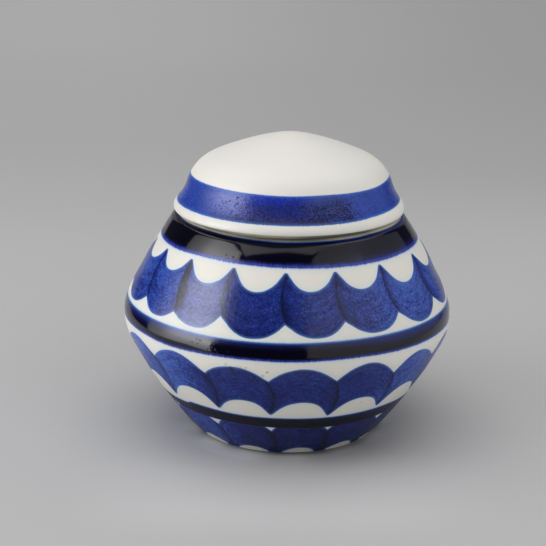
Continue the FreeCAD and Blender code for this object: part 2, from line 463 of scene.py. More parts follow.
class Glaze(Graph):
    """A turned piece's graph: place in waist radii, angle in degrees, run in mm."""

    def __init__(self, name, shift=0.0):
        super().__init__(name)
        to_waists = 1000.0 / WAIST
        x = self.x * to_waists - shift / WAIST
        y = self.y * to_waists - 0.0
        self.z = self.z * to_waists
        self.angle = self.math("ARCTAN2", x, -y) * DEGREES
        self.radius = (x * x + y * y).sqrt()
        self.unit_x, self.unit_y = x / self.radius, y / self.radius
        run = self.node("ShaderNodeAttribute", attribute_name="run_mm")
        self.run = Value(self, run.outputs["Fac"])

    def brush(self, size, height, scale, detail, roughness, **more):
        """Noise about zero on a cylinder of the given size, for lines left by a brush."""
        vector = self.vector(self.unit_x * size, self.unit_y * size, height)
        return self.noise(scale, detail, roughness, vector, **more) - 0.5

    def cells(self, scale, channel):
        """Distance to the nearest cell's middle, and a random number for that cell."""
        node = self.node("ShaderNodeTexVoronoi",
                         {"Vector": self.object, "Scale": scale, "Randomness": 1.0})
        split = self.node("ShaderNodeSeparateColor", {0: node.outputs["Color"]})
        return Value(self, node.outputs["Distance"]), Value(self, split.outputs[channel])

    def spots(self, place, points):
        """1 inside round spots: (angle, height in waist radii, radius in mm)."""
        total = None
        for angle, height, size in points:
            turn = math.radians(angle)
            middle = (SPOT_RADIUS * math.sin(turn), -SPOT_RADIUS * math.cos(turn),
                      height * WAIST * SPOT_STRETCH)
            node = self.node("ShaderNodeVectorMath", {0: place, 1: middle}, operation="DISTANCE")
            spot = Value(self, node.outputs["Value"]).ramp(size * 1.35, size * 0.55)
            total = spot if total is None else total.max(spot)
        return total

    def glazed(self, colour, roughness, gloss, height, strength, distance):
        """The finished material, with a relief of the given strength and depth."""
        bump = self.node("ShaderNodeBump",
                         {"Strength": strength, "Distance": distance, "Height": height})
        surface = self.node("ShaderNodeBsdfPrincipled", {
            "Base Color": colour, "Roughness": roughness, "IOR": 1.5,
            "Specular IOR Level": gloss, "Normal": bump.outputs[0]})
        return self.finish(surface.outputs[0])


SPOT_RADIUS, SPOT_STRETCH = 65.0, 1.12   # mm, and height scale, of the cylinder spots lie on


def mix(a, b, amount):
    """From a to b by a Value."""
    return a + amount.graph.math("SUBTRACT", b, a) * amount


def blend(under, over, amount):
    """From one colour to another by a Value."""
    node = amount.graph.node("ShaderNodeMix", {"Factor": amount, 6: under, 7: over},
                             data_type="RGBA", blend_type="MIX")
    return node.outputs[2]


def scaled(colour, factor):
    node = factor.graph.node("ShaderNodeVectorMath", {0: colour, "Scale": factor},
                             operation="SCALE")
    return node.outputs[0]


def drift(marks, size, rate, phase=0.0):
    """The marks moved unevenly by up to size degrees."""
    return [a + size * math.sin(rate * i + phase) for i, a in enumerate(marks)]


def spread(first, last, count):
    """Marks strictly between two angles, nearly even."""
    marks = []
    for i in range(1, count + 1):
        a = first + (last - first) * i / (count + 1) + 0.9 * math.sin(2.3 * i + 0.5)
        marks.append((a + 180.0) % 360.0 - 180.0)
    return marks


def white_glaze(g, light, dark, shade, rarity, strength):
    """Off-white glaze with rare tan specks; rarity is the range that picks speck cells."""
    warmth = g.centred(30, 3, 0.6)
    white = scaled(blend(light, dark, (warmth * 0.8 + 0.5).clamp()), shade)
    distance, chance = g.cells(230, 0)
    speck = distance.ramp(0.16, 0.07) * chance.ramp(*rarity)
    return blend(white, (0.50, 0.36, 0.18), speck * strength)


# ---------------------------------------------------------------------------------------
# The painted strokes of the jar
# ---------------------------------------------------------------------------------------
# Arc shapes: (place along a stroke, 0 at the points to 1 at the middle of the arc).
UPPER_TOP_ARC = [
    (0, 0), (0.03, 0.04), (0.065, 0.16), (0.115, 0.34), (0.2, 0.64), (0.3, 0.865), (0.4, 0.975),
    (0.48, 1.0), (0.6, 0.955), (0.7, 0.83), (0.8, 0.635), (0.9, 0.31), (0.95, 0.12),
    (0.98, 0.03), (1, 0)]
UPPER_LOW_ARC = [
    (0, 0), (0.05, 0.16), (0.1, 0.31), (0.2, 0.62), (0.3, 0.83), (0.4, 0.96), (0.5, 1.0),
    (0.6, 0.98), (0.7, 0.90), (0.8, 0.71), (0.9, 0.41), (0.95, 0.20), (1, 0)]
LOWER_TOP_ARC = [
    (0, 0), (0.05, 0.22), (0.1, 0.40), (0.2, 0.69), (0.3, 0.86), (0.4, 0.965), (0.48, 1.0),
    (0.6, 0.95), (0.7, 0.82), (0.8, 0.61), (0.9, 0.32), (0.95, 0.15), (1, 0)]
LOWER_LOW_ARC = [
    (0, 0), (0.05, 0.13), (0.1, 0.31), (0.2, 0.62), (0.3, 0.83), (0.4, 0.945), (0.52, 1.0),
    (0.6, 0.985), (0.7, 0.91), (0.8, 0.73), (0.9, 0.38), (0.95, 0.16), (1, 0)]


def slope_factor(arc, depth, width, stretch):
    """How much a gap in height shortens square to the edge, at places along an arc.

    depth is in waist radii, width in mm; stretch allows for the leaning wall."""
    xs, ys = zip(*arc)
    out = []
    for i in range(21):
        x = i / 20
        left, right = max(x - 0.03, 0), min(x + 0.03, 1)
        rise = np.interp(right, xs, ys) - np.interp(left, xs, ys)
        slope = rise / (right - left) * depth * WAIST * stretch / width
        out.append((x, 1.0 / math.sqrt(1.0 + slope * slope)))
    return out


def stroke_row(g, marks, heights, arcs, slopes, bulge):
    """A row of overlapping brush arcs. Marks, heights (of the points and of the middles),
    arcs and slopes come in pairs: the upper edge, then the lower one. The bulge of the laps
    is positive where a stroke lies over its left neighbour."""
    counts, edges, factors = [], [], []
    for edge_marks, (points, middles), arc, slope in zip(marks, heights, arcs, slopes):
        count = g.angle.count_marks(edge_marks)
        place = count.frac()
        counts.append(count)
        edges.append(points + (middles - points) * place.curve(arc, UNIT, (-0.1, 1.1)))
        factors.append(place.curve(slope_factor(arc, *slope), UNIT, UNIT))
    top, low = edges
    level = g.z.ramp(heights[1][0], heights[0][0], "LINEAR")
    bow = 4.0 * level * (1.0 - level)
    count = mix(counts[1], counts[0], level) + bulge * bow
    return SimpleNamespace(
        inside=((top - g.z) * factors[0]).min((g.z - low) * factors[1]),
        index=count.floor(), over=count.frac(), across=((g.z - low) / (top - low)).clamp())


def upper_row(g):
    """The row above the waist, its strokes lying over their left neighbours."""
    back = spread(66.7, -64.5 + 360.0, 9)
    tops = g.angle.around([
        (-150, 1.188), (-120, 1.194), (-90, 1.186), (-64.5, 1.196), (-45, 1.199), (-22.5, 1.2),
        (-0.5, 1.1935), (19.5, 1.193), (42, 1.197), (67, 1.189), (90, 1.193), (120, 1.186),
        (150, 1.195), (180, 1.19)], 1.1, 1.3)
    hollows = g.angle.around([
        (-150, 1.098), (-120, 1.093), (-90, 1.11), (-55, 1.11), (-34, 1.099), (-11.5, 1.09),
        (9.5, 1.098), (31, 1.091), (54, 1.074), (80, 1.086), (110, 1.1), (140, 1.092),
        (170, 1.097)], 1.0, 1.2)
    notches = g.angle.around([
        (-150, 0.93), (-120, 0.925), (-90, 0.925), (-62, 0.93), (-43.5, 0.918), (-23.5, 0.95),
        (-0.5, 0.931), (20.5, 0.936), (43, 0.937), (67, 0.936), (95, 0.925), (120, 0.935),
        (150, 0.928), (180, 0.938)], 0.8, 1.0)
    lows = g.angle.around([
        (-150, 0.862), (-120, 0.858), (-90, 0.866), (-53, 0.866), (-33.5, 0.868), (-12, 0.852),
        (10, 0.861), (32, 0.859), (55, 0.85), (85, 0.858), (115, 0.852), (145, 0.86),
        (170, 0.856)], 0.8, 1.0)
    row = stroke_row(
        g, marks=([-63.9, -44.4, -22.5, -0.7, 19.4, 40.9, 65.3] + back,
                  [-61.5, -43.3, -23.6, -0.5, 20.5, 43.0, 66.6] + drift(back, 0.8, 1.7)),
        heights=((tops, hollows), (notches, lows)), arcs=(UPPER_TOP_ARC, UPPER_LOW_ARC),
        slopes=((0.098, 24.0, 1.14), (0.080, 27.0, 1.14)), bulge=0.085)
    # blunt tips: the upper edge can't rise above the points
    row.inside = row.inside.min((tops - 0.0025 - g.z) * 1.4)
    return row


def lower_row(g):
    """The row below the waist, its strokes lying over their right neighbours."""
    back = spread(62.5, -51.3 + 360.0, 10)
    cusps = g.angle.around([
        (-150, 0.607), (-120, 0.612), (-90, 0.61), (-51.5, 0.621), (-28, 0.614), (-5.5, 0.606),
        (17.3, 0.603), (40, 0.592), (62.5, 0.606), (90, 0.612), (120, 0.604), (150, 0.615),
        (180, 0.608)], 0.5, 0.75)
    tops = g.angle.around([
        (-150, 0.694), (-120, 0.688), (-90, 0.692), (-64, 0.696), (-42, 0.706), (-16, 0.685),
        (5.5, 0.691), (28, 0.696), (51, 0.69), (80, 0.688), (110, 0.695), (140, 0.687),
        (170, 0.692)], 0.6, 0.8)
    tips = g.angle.around([
        (-150, 0.342), (-120, 0.35), (-90, 0.346), (-51, 0.346), (-27.3, 0.348), (-5.7, 0.345),
        (17.5, 0.33), (40.5, 0.338), (63, 0.345), (90, 0.35), (120, 0.338), (150, 0.349),
        (180, 0.344)], 0.25, 0.45)
    hollows = g.angle.around([
        (-150, 0.452), (-120, 0.446), (-90, 0.455), (-62, 0.456), (-39, 0.465), (-16, 0.446),
        (6.5, 0.448), (29, 0.444), (53, 0.455), (85, 0.45), (115, 0.444), (145, 0.454),
        (170, 0.448)], 0.35, 0.55)
    row = stroke_row(
        g, marks=([-51.3, -28.0, -5.7, 17.3, 40.0, 62.5] + back,
                  [-51.2, -27.3, -5.8, 17.4, 40.4, 63.5] + drift(back, 0.7, 2.1, 1.0)),
        heights=((cusps, tops), (tips, hollows)), arcs=(LOWER_TOP_ARC, LOWER_LOW_ARC),
        slopes=((0.083, 28.0, 1.16), (0.104, 26.0, 1.18)), bulge=-0.10)
    row.inside = row.inside.min((g.z - tips - 0.0025) * 1.4)
    return row


def foot_row(g):
    """The row above the foot, its tops hidden under the lowest band."""
    back = spread(48.6, -60.5 + 360.0, 8)
    cusps = g.angle.around([
        (-120, 0.204), (-90, 0.2), (-60, 0.207), (-32, 0.2), (-6, 0.209), (20, 0.208),
        (49, 0.202), (80, 0.206), (120, 0.198), (150, 0.208), (180, 0.203)], 0.1, 0.3)
    hollows = g.angle.around([
        (-120, 0.052), (-90, 0.058), (-46, 0.058), (-19, 0.046), (9, 0.053), (35, 0.056),
        (60, 0.05), (100, 0.055), (140, 0.047), (170, 0.054)], 0.0, 0.2)
    return stroke_row(
        g, marks=([-60.5, -32.6, -6.1, 20.0, 48.6] + back,
                  [-61.5, -33.2, -6.0, 21.2, 47.5] + drift(back, 0.8, 1.9, 0.4)),
        heights=((cusps, cusps + 0.105), (-0.045, hollows)),
        arcs=(LOWER_TOP_ARC, LOWER_LOW_ARC),
        slopes=((0.105, 26.0, 1.22), (0.098, 21.0, 1.3)), bulge=-0.09)


# The edges of the three dark bands: (angle, height in waist radii).
SHOULDER_LOW = [
    (-150, 1.21), (-110, 1.217), (-60, 1.2165), (-40, 1.2225), (-20, 1.219), (0, 1.215),
    (20, 1.211), (40, 1.2095), (60, 1.212), (100, 1.209), (150, 1.203), (180, 1.206)]
WAIST_TOP = [
    (-150, 0.84), (-90, 0.842), (-60, 0.843), (-40, 0.8415), (-20, 0.838), (0, 0.8385),
    (20, 0.8415), (60, 0.8395), (120, 0.843), (180, 0.84)]
WAIST_LOW = [
    (-150, 0.734), (-90, 0.733), (-60, 0.7355), (-40, 0.729), (-28, 0.7325), (-12, 0.734),
    (0, 0.7325), (20, 0.7385), (40, 0.7325), (60, 0.73), (120, 0.731), (180, 0.728)]
FOOT_TOP = [
    (-150, 0.322), (-90, 0.303), (-60, 0.306), (-45.5, 0.315), (-43.5, 0.329), (-38, 0.332),
    (-20, 0.324), (0, 0.322), (20, 0.319), (45, 0.32), (60, 0.312), (75, 0.31), (120, 0.322),
    (180, 0.318)]
FOOT_LOW = [
    (-150, 0.24), (-90, 0.238), (-60, 0.239), (-32, 0.2435), (-6, 0.24), (20, 0.2315),
    (48, 0.2345), (90, 0.24), (130, 0.236), (180, 0.242)]
# The shoulder band stops on the turn of the lip: (angle, radius in waist radii).
LIP_EDGE = [
    (-150, 0.68), (-110, 0.676), (-75, 0.667), (-60, 0.6645), (-48, 0.664), (-36, 0.6685),
    (-24, 0.6735), (-12, 0.679), (0, 0.6835), (12, 0.681), (24, 0.6805), (36, 0.678),
    (48, 0.673), (60, 0.675), (80, 0.678), (120, 0.682), (180, 0.68)]


def dark_bands(g, t):
    """Distances inside the bands and from their edges, in waist radii."""
    z, angle = g.z, g.angle
    shoulder_low = angle.around(SHOULDER_LOW, 1.1, 1.3)
    waist_top = angle.around(WAIST_TOP, 0.8, 0.9)
    waist_low = angle.around(WAIST_LOW, 0.7, 0.8)
    foot_top = angle.around(FOOT_TOP, 0.25, 0.4)
    foot_low = angle.around(FOOT_LOW, 0.2, 0.3)
    # brush-edge serration, finest round the pot
    comb = g.brush(62, z * 9.0, 2.2, 3, 0.75)
    fuzz = comb * 0.0185
    lip_distance = (g.radius - angle.around(LIP_EDGE, 0.65, 0.71)) * 0.95
    lip_gap = lip_distance.max((1.30 - z) * 10.0)
    shoulder = (z - shoulder_low + fuzz).min(lip_gap + fuzz * 0.45)
    on_shoulder = z.ramp(1.0, 1.02)
    shoulder = mix(-1.0, shoulder, on_shoulder)
    waist = (waist_top - z + fuzz * 0.28).min(z - waist_low + fuzz * 0.75)
    foot = (foot_top - z + fuzz * 0.18).min(z - foot_low + fuzz * 0.4)
    above_foot = z.ramp(0.55, 0.56)
    from_top = mix(foot_top - z + 0.012, waist_top - z, above_foot)
    from_low = mix(z - foot_low + 0.012, z - waist_low, above_foot)
    return SimpleNamespace(
        inside=shoulder.max(waist).max(foot) + t.fine * 0.0022,
        from_top=mix(from_top, lip_gap, on_shoulder),
        from_low=mix(from_low, z - shoulder_low, on_shoulder),
        lip_gap=lip_gap, on_shoulder=on_shoulder, comb=comb)


# Depth of the wash in each row, with painted light and reflection where the side panels fall: (angle,
# factor).
UPPER_DEPTH_AND_LIGHT = [
    (-180, 1.1), (-130, 1.2), (-90, 1.4), (-56, 1.62), (-40, 1.12), (-25, 1.02), (-12, 0.9),
    (8, 0.97), (30, 1.18), (54, 1.95), (75, 1.48), (110, 1.1), (150, 1.2)]
LOWER_DEPTH_AND_LIGHT = [
    (-180, 1.0), (-120, 1.1), (-60, 2.15), (-39, 1.5), (-15, 0.86), (6, 0.91), (29, 0.85),
    (52, 1.95), (90, 1.0), (140, 1.0)]
FOOT_DEPTH_AND_LIGHT = [
    (-180, 0.7), (-120, 0.8), (-45, 1.45), (-18, 0.7), (9, 0.57), (35, 0.66), (90, 0.7),
    (140, 0.7)]
# Spots: (angle, height in waist radii, radius in mm).
PINHOLES = [    # small open bubbles in the dark glaze
    (-32.2, 0.788, 0.42), (-30.5, 0.81, 0.32), (-30, 0.788, 0.3), (-29.2, 0.806, 0.34),
    (-25, 0.784, 0.36), (-23.8, 0.772, 0.42), (-23, 0.756, 0.4), (-19.5, 0.77, 0.5),
    (-26.1, 0.766, 0.3), (-24.4, 0.8, 0.28), (-27.5, 1.256, 0.34), (-26.2, 1.238, 0.3),
    (-23.8, 1.25, 0.42), (-21, 1.266, 0.34), (-34, 0.77, 0.24), (-37.5, 0.795, 0.26)]
BLOTS = [       # near black, in the wash
    (-18.3, 0.681, 0.45), (-17.9, 0.664, 0.75), (-16.8, 0.648, 0.65), (-17.3, 0.655, 0.6),
    (-15.4, 0.65, 0.45), (-12, 0.608, 0.6), (-12.4, 0.621, 0.45), (-10.3, 0.628, 0.65),
    (-9, 0.61, 0.6), (-11, 0.606, 0.55), (-8.6, 0.62, 0.4), (-48, 0.948, 0.62),
    (-31.5, 1.08, 0.35)]
GOLD_SPOTS = [  # tan, in the white
    (-19.8, 0.694, 0.55), (-14.8, 0.684, 0.75), (-13, 0.686, 0.6), (-6, 0.668, 0.6),
    (-7.5, 0.642, 0.65), (-9.9, 0.655, 0.3), (30.5, 0.405, 0.4), (-15.9, 0.69, 0.35)]


def blue_wash(g, t, rows, inside):
    """The blue of the strokes: which stroke, how thick, where strokes lap, and painted light at the
    sides.
    """
    z, angle = g.z, g.angle
    in_upper, in_lower = z.ramp(0.78, 0.80), z.ramp(0.27, 0.275)

    def by_row(upper, lower, foot):
        return mix(mix(foot, lower, in_lower), upper, in_upper)

    upper, lower, foot = rows
    # over is 0 at the edge of the stroke on top, across is 0 at the outer, larger arc
    over = by_row(upper.over, 1.0 - lower.over, 1.0 - foot.over)
    across = by_row(upper.across, 1.0 - lower.across, 1.0 - foot.across)
    index = by_row(upper.index, lower.index + 40.0, foot.index + 80.0)
    tone = (index * 1.37 + 0.5).random()
    # bristle lines run along the stroke
    streak = g.brush(4.2, across * 9.0 + index * 5.1, 1.6, 4, 0.70,
                     lacunarity=2.2, distortion=0.12)
    fine_streak = g.brush(11, across * 34.0 + index * 3.3, 1, 3, 0.65)

    # the lap: a crisp dark line, then a double coat that is widest half way down
    over = over + g.centred(130, 2, 0.5) * 0.04
    bow = (across * (1.0 - across) * 4.0).clamp()
    # one stroke at the upper left has a heavy lap; elsewhere the weight is random
    heavy = angle.ramp(-56, -54) * angle.ramp(-33, -36) * in_upper * across.ramp(-0.10, 0.35)
    weight = (index * 2.71 + 9.5).random().max(heavy)
    reach = 0.075 + (weight * 0.55 + 0.45) * bow * (0.085 + heavy * 0.085)
    line = over.ramp(0.0, 0.015) * over.ramp(0.075, 0.030)
    coat_end = over.ramp(reach - 0.035 - heavy * 0.05, reach + 0.02 + heavy * 0.03)
    coat = over.ramp(0.0, 0.015) * (1.0 - coat_end)
    tail = over.ramp(0.34, 0.05)
    before = over.ramp(0.95, 1.0)
    lap = (line * 0.48 + coat * (0.26 + heavy * 0.62) + tail * 0.16 + before * 0.20).clamp()
    lap = lap * inside.ramp(0.0, 0.012)

    # colour gathers towards the outer arc
    gather = across.ramp(0.85, 0.10) * 0.16 * in_upper + across.ramp(0.35, 0.0) * 0.06
    # depth: partly the paint's real thickness, partly painted light and reflection that brighten the
    # wash towards the sides
    depth = by_row(angle.around(UPPER_DEPTH_AND_LIGHT, 0.4, 2.2), angle.around(LOWER_DEPTH_AND_LIGHT, 0.4, 2.2),
                   angle.around(FOOT_DEPTH_AND_LIGHT, 0.4, 1.8))
    tint = (1.0 + (tone - 0.5) * 0.16 + streak * 1.5 + fine_streak * 0.85 + t.mottle * 2.5
            + t.patches * 1.1 + t.cloud * 0.5 - gather)
    tint = tint * (1.0 - lap * 0.80) * depth
    blue = scaled((0.0098, 0.0245, 0.198), tint.max(0.10))
    pale = ((tint - 1.05) * 0.42).clamp()
    blue = blend(blue, (0.062, 0.152, 0.44), pale)
    # thinner, brighter along the very edge; violet where thickest; near black in heavy laps
    thin = inside.ramp(0.0150, 0.0015)
    blue = blend(blue, (0.05, 0.17, 0.45), thin * 0.62 * (1.0 - lap * 0.6))
    blue = blend(blue, (0.009, 0.008, 0.045), tint.ramp(0.45, 0.0) * 0.6)
    double = (coat * heavy * 0.66).clamp() * inside.ramp(0.0, 0.012)
    blue = blend(blue, (0.012, 0.01, 0.018), double)
    blots = g.spots(t.place, BLOTS) * (0.55 + t.patches.ramp(-0.25, 0.1) * 0.35)
    blue = blend(blue, (0.006, 0.01, 0.012), blots)
    return SimpleNamespace(colour=blue, streak=streak, fine_streak=fine_streak,
                           heavy_coat=coat * heavy, in_upper=in_upper)


def band_colour(g, t, bands):
    """Near black where thick, navy under the upper edge, a violet-blue fringe at the lower.

    Returns the colour, and how far each place is in the navy edges."""
    angle, upper, comb = g.angle, bands.on_shoulder, bands.comb
    from_top, from_low = bands.from_top, bands.from_low
    right = angle.ramp(12, 45) * angle.ramp(150, 100)
    left = angle.ramp(-18, -40) * (1.0 - upper)
    rub = t.cloud * 0.5 + t.mottle * 0.55 + t.patches * 0.4
    smear = g.brush(2, g.z * 60.0, 3, 3, 0.65)
    low = from_low * (1.0 - upper * 0.30)
    # widths of the parts, in waist radii, worn by the rub and serrated by the comb
    navy_top = (from_top * (1.0 + upper * 0.9) + rub * 0.022).ramp(0.047 + right * 0.018, 0.006)
    navy_low = (low + comb * 0.012 + rub * 0.014).ramp(0.0235, 0.007)
    thin_low = from_low.ramp(0.060, 0.014) * upper * right * smear.ramp(-0.20, 0.15)
    weak = ((0.06 + left * 0.75 + right * (0.42 - upper * 0.12))
            * (0.55 + smear * 1.2 + rub * 0.9).clamp())
    ink = blend((0.0011, 0.0008, 0.006), (0.0022, 0.003, 0.033), (weak * 0.8).clamp())
    navy = blend((0.0055, 0.0085, 0.064), (0.012, 0.022, 0.185), (right.max(left) * 0.8).clamp())
    ink = blend(ink, navy, (navy_top * 0.92).clamp())
    navy = blend((0.0095, 0.012, 0.105), (0.011, 0.016, 0.16), right * upper)
    ink = blend(ink, navy, (navy_low * 0.85).clamp())
    ink = blend(ink, (0.016, 0.016, 0.115), (thin_low * 0.75).clamp())
    top_edge = from_top * (1.0 + upper * 0.3) + comb * 0.010 + t.mottle * 0.006
    top_edge = top_edge.ramp(0.0175, 0.003)
    ink = blend(ink, (0.013, 0.04, 0.24), (top_edge * 0.88).clamp())
    low_edge = (low + comb * 0.026 + t.fine * 0.006).ramp(0.0145, 0.0020)
    ink = blend(ink, (0.033, 0.07, 0.42), (low_edge * 0.92).clamp())
    outline = bands.inside.ramp(0.0115, 0.0005) * (0.85 - upper * 0.45)
    ink = blend(ink, (0.04, 0.17, 0.46), outline * from_top.ramp(0.03, 0.015))
    return ink, navy_top.max(navy_low)


# Painted light and shade on the bare clay of the lip: (angle, factor).
LIP_CLAY_LIGHT_AND_SHADE = [
    (-180, 1.3), (-90, 1.6), (-60, 2.2), (-48, 2.3), (-36, 2.15), (-30, 1.6), (-24, 1.15),
    (-18, 0.78), (-10, 0.56), (6, 0.54), (12, 0.72), (18, 1.15), (24, 1.7), (30, 2.1),
    (48, 2.2), (60, 2.1), (90, 1.6)]
# How far the shoulder band's top stays dull: (angle, waist radii).
DULL_TURN = [
    (-180, 0.018), (-90, 0.022), (-60, 0.026), (-40, 0.033), (-20, 0.038), (0, 0.034),
    (15, 0.03), (30, 0.021), (60, 0.014), (90, 0.014), (150, 0.016)]


def jar_glaze():
    g = Glaze("jar_glaze")
    z, angle, run = g.z, g.angle, g.run
    # textures, from fine to broad: scale, detail, roughness
    t = SimpleNamespace(
        fine=g.centred(1900, 2, 0.6), mottle=g.centred(1150, 3, 0.70),
        grain=g.centred(900, 3, 0.6), patches=g.centred(300, 3, 0.6),
        cloud=g.centred(85, 3, 0.55), slow=g.centred(60, 2, 0.5),
        place=g.vector(g.unit_x * SPOT_RADIUS, g.unit_y * SPOT_RADIUS,
                       z * (WAIST * SPOT_STRETCH)))
    rows = upper_row(g), lower_row(g), foot_row(g)
    in_wash = rows[0].inside.max(rows[1].inside).max(rows[2].inside) + t.fine * 0.0016
    bands = dark_bands(g, t)
    wash = blue_wash(g, t, rows, in_wash)
    ink, fringe = band_colour(g, t, bands)

    # nothing is painted inside, on the lip's flat or underneath
    painted = (run.ramp(LIP_RUN + 1.2, LIP_RUN + 0.2)
               * run.ramp(FOOT_RUN + 0.2, FOOT_RUN + 0.5))
    is_blue = in_wash.ramp(-0.0024, 0.0024)
    is_ink = bands.inside.ramp(-0.0024, 0.0024)
    ink_painted = is_ink * painted

    white = white_glaze(g, light=(0.768, 0.751, 0.69), dark=(0.743, 0.722, 0.655),
                        shade=1.0 + t.grain * 0.03, rarity=(0.962, 0.968), strength=0.45)
    white = blend(white, (0.42, 0.27, 0.085), g.spots(t.place, GOLD_SPOTS) * 0.72)

    # white cools near paint, paint bleeds a little past its edge
    near = in_wash.ramp(-0.034, -0.002).max(bands.inside.ramp(-0.040, -0.002))
    colour = blend(white, (0.64, 0.69, 0.72), near * 0.55)
    colour = blend(colour, (0.42, 0.58, 0.78), in_wash.ramp(-0.0080, 0.0) * 0.34)
    colour = blend(colour, wash.colour, is_blue)
    cool = blend((0.18, 0.36, 0.68), (0.23, 0.35, 0.7), bands.from_low.ramp(0.02, 0.0))
    ink_bleed = bands.inside.ramp(-0.0110, 0.0) * 0.46 * (1.0 - is_blue)
    colour = blend(colour, cool, ink_bleed)
    colour = blend(colour, ink, is_ink)
    colour = blend(white, colour, painted)

    # unglazed clay: the foot ring, a painted contact shadow along its lower edge, and the flat of the
    # lip with painted shade and light
    clay_noise = g.noise(420, 4, 0.6)
    foot = (run.ramp(FOOT_RUN + 1.0, FOOT_RUN + 0.2)
            * run.ramp(FOOT_RUN - 6.5, FOOT_RUN - 5.5))
    clay = blend((0.50, 0.44, 0.34), (0.66, 0.60, 0.49), clay_noise)
    colour = blend(colour, clay, foot)
    # painted contact shadow: a dark line along the foot's lower edge, where it meets the floor
    foot_edge = (run.ramp(FOOT_RUN + 0.85, FOOT_RUN + 0.30)
                 * run.ramp(FOOT_RUN - 0.9, FOOT_RUN - 0.2))
    colour = blend(colour, (0.10, 0.088, 0.062), foot_edge * 0.8)
    # the lip's clay is darkened by grime and painted shade under the lid, deepest at the front, and
    # lifted by painted light at the sides
    lip = (run.ramp(LIP_RUN - 3.4, LIP_RUN - 2.4) * run.ramp(LIP_RUN + 3.6, LIP_RUN + 3.0)
           * (1.0 - ink_painted))
    lip_clay_and_shade = scaled(blend((0.30, 0.285, 0.215), (0.38, 0.36, 0.28), clay_noise),
                      angle.around(LIP_CLAY_LIGHT_AND_SHADE, 0.0, 2.4))
    colour = blend(colour, lip_clay_and_shade, lip * 0.92)

    # roughness: satin white, smoother wash, glassy bands, dry clay
    wash_rough = 0.225 + wash.streak * 0.10 + t.mottle * 0.14
    dull_left = angle.ramp(-20, -40) * z.ramp(0.86, 0.70) * 0.025
    ink_rough = 0.062 + fringe * 0.13 + (t.slow + 0.5) * 0.02 + dull_left
    rough = mix(0.36 + t.grain * 0.06 + t.slow * 0.05, wash_rough, is_blue * painted)
    rough = mix(rough, ink_rough, ink_painted)
    rough = mix(rough, 0.72, foot)
    rough = mix(rough, 0.60, lip)

    # gloss: less on white, in heavy laps and pinholes, more on the upper left wash
    plain = (1.0 - is_blue) * (1.0 - is_ink)
    pinholes = g.spots(t.place, PINHOLES)
    brushed = (t.mottle * 0.9 + wash.fine_streak * 0.4) * is_blue * painted
    shiny = (angle.ramp(-52, -42) * angle.ramp(-20, -28) * wash.in_upper
             * is_blue * painted * 0.13)
    gloss = (0.5 - plain * 0.24 + brushed - wash.heavy_coat * 0.12 * is_blue
             - pinholes * 0.30 + shiny)
    turn = angle.around(DULL_TURN, 0.0, 0.04)
    dull = bands.lip_gap.ramp(turn + 0.004, turn - 0.004) * bands.on_shoulder * ink_painted
    gloss = mix(gloss.max(0.15).min(0.9), 0.04, dull)

    # relief: the paint stands proud, with brush texture and pits
    pit_distance, pit_chance = g.cells(420, 1)
    pits = pit_distance.ramp(0.20, 0.05) * pit_chance.ramp(0.95, 0.96)
    texture = (t.mottle * 0.24 + t.patches * 0.10) * is_blue * painted
    height = (ink_painted * 0.30 + is_blue * painted * 0.06 + g.noise(150, 2, 0.5) * 0.10
              + texture - (pits * 0.30 + pinholes * 0.35) * ink_painted
              + t.grain * 0.05 * (1.0 - ink_painted))
    return g.glazed(colour, rough, gloss, height, strength=0.55, distance=0.00022)


# ---------------------------------------------------------------------------------------
# The lid's glaze: one blue band on white
# ---------------------------------------------------------------------------------------
# Edges of the band: (angle, height in waist radii).
LID_BAND_TOP = [
    (-150, 1.586), (-90, 1.589), (-50, 1.59), (-20, 1.587), (0, 1.585), (20, 1.587),
    (35, 1.584), (50, 1.583), (80, 1.59), (130, 1.584), (180, 1.588)]
LID_BAND_LOW = [
    (-150, 1.434), (-90, 1.427), (-50, 1.431), (0, 1.431), (30, 1.4325), (50, 1.439),
    (80, 1.443), (130, 1.436), (180, 1.432)]
# Weight of the speckle up the band (0 at its lower edge) and round it.
SPECKLE_UP = [(0.0, 1.0), (0.15, 0.90), (0.35, 0.66), (0.6, 0.52), (0.85, 0.20), (1.0, 0.05)]
SPECKLE_ROUND = [
    (-180, 0.15), (-100, 0.15), (-70, 0.2), (-50, 0.36), (-35, 0.56), (-22, 0.82), (-8, 1.0),
    (8, 0.95), (34, 0.95), (36.5, 0.35), (60, 0.3), (100, 0.2), (150, 0.15)]
# Painted shade under the rim: (angle, factor).
UNDER_RIM_SHADE = [
    (-180, 1.2), (-90, 1.2), (-60, 1.2), (-48, 0.8), (-42, 0.5), (-36, 0.58), (-24, 1.25),
    (-12, 1.45), (0, 1.25), (6, 0.85), (12, 0.45), (18, 0.24), (24, 0.15), (36, 0.07),
    (42, 0.2), (48, 0.8), (54, 1.2), (60, 1.3), (90, 1.2)]


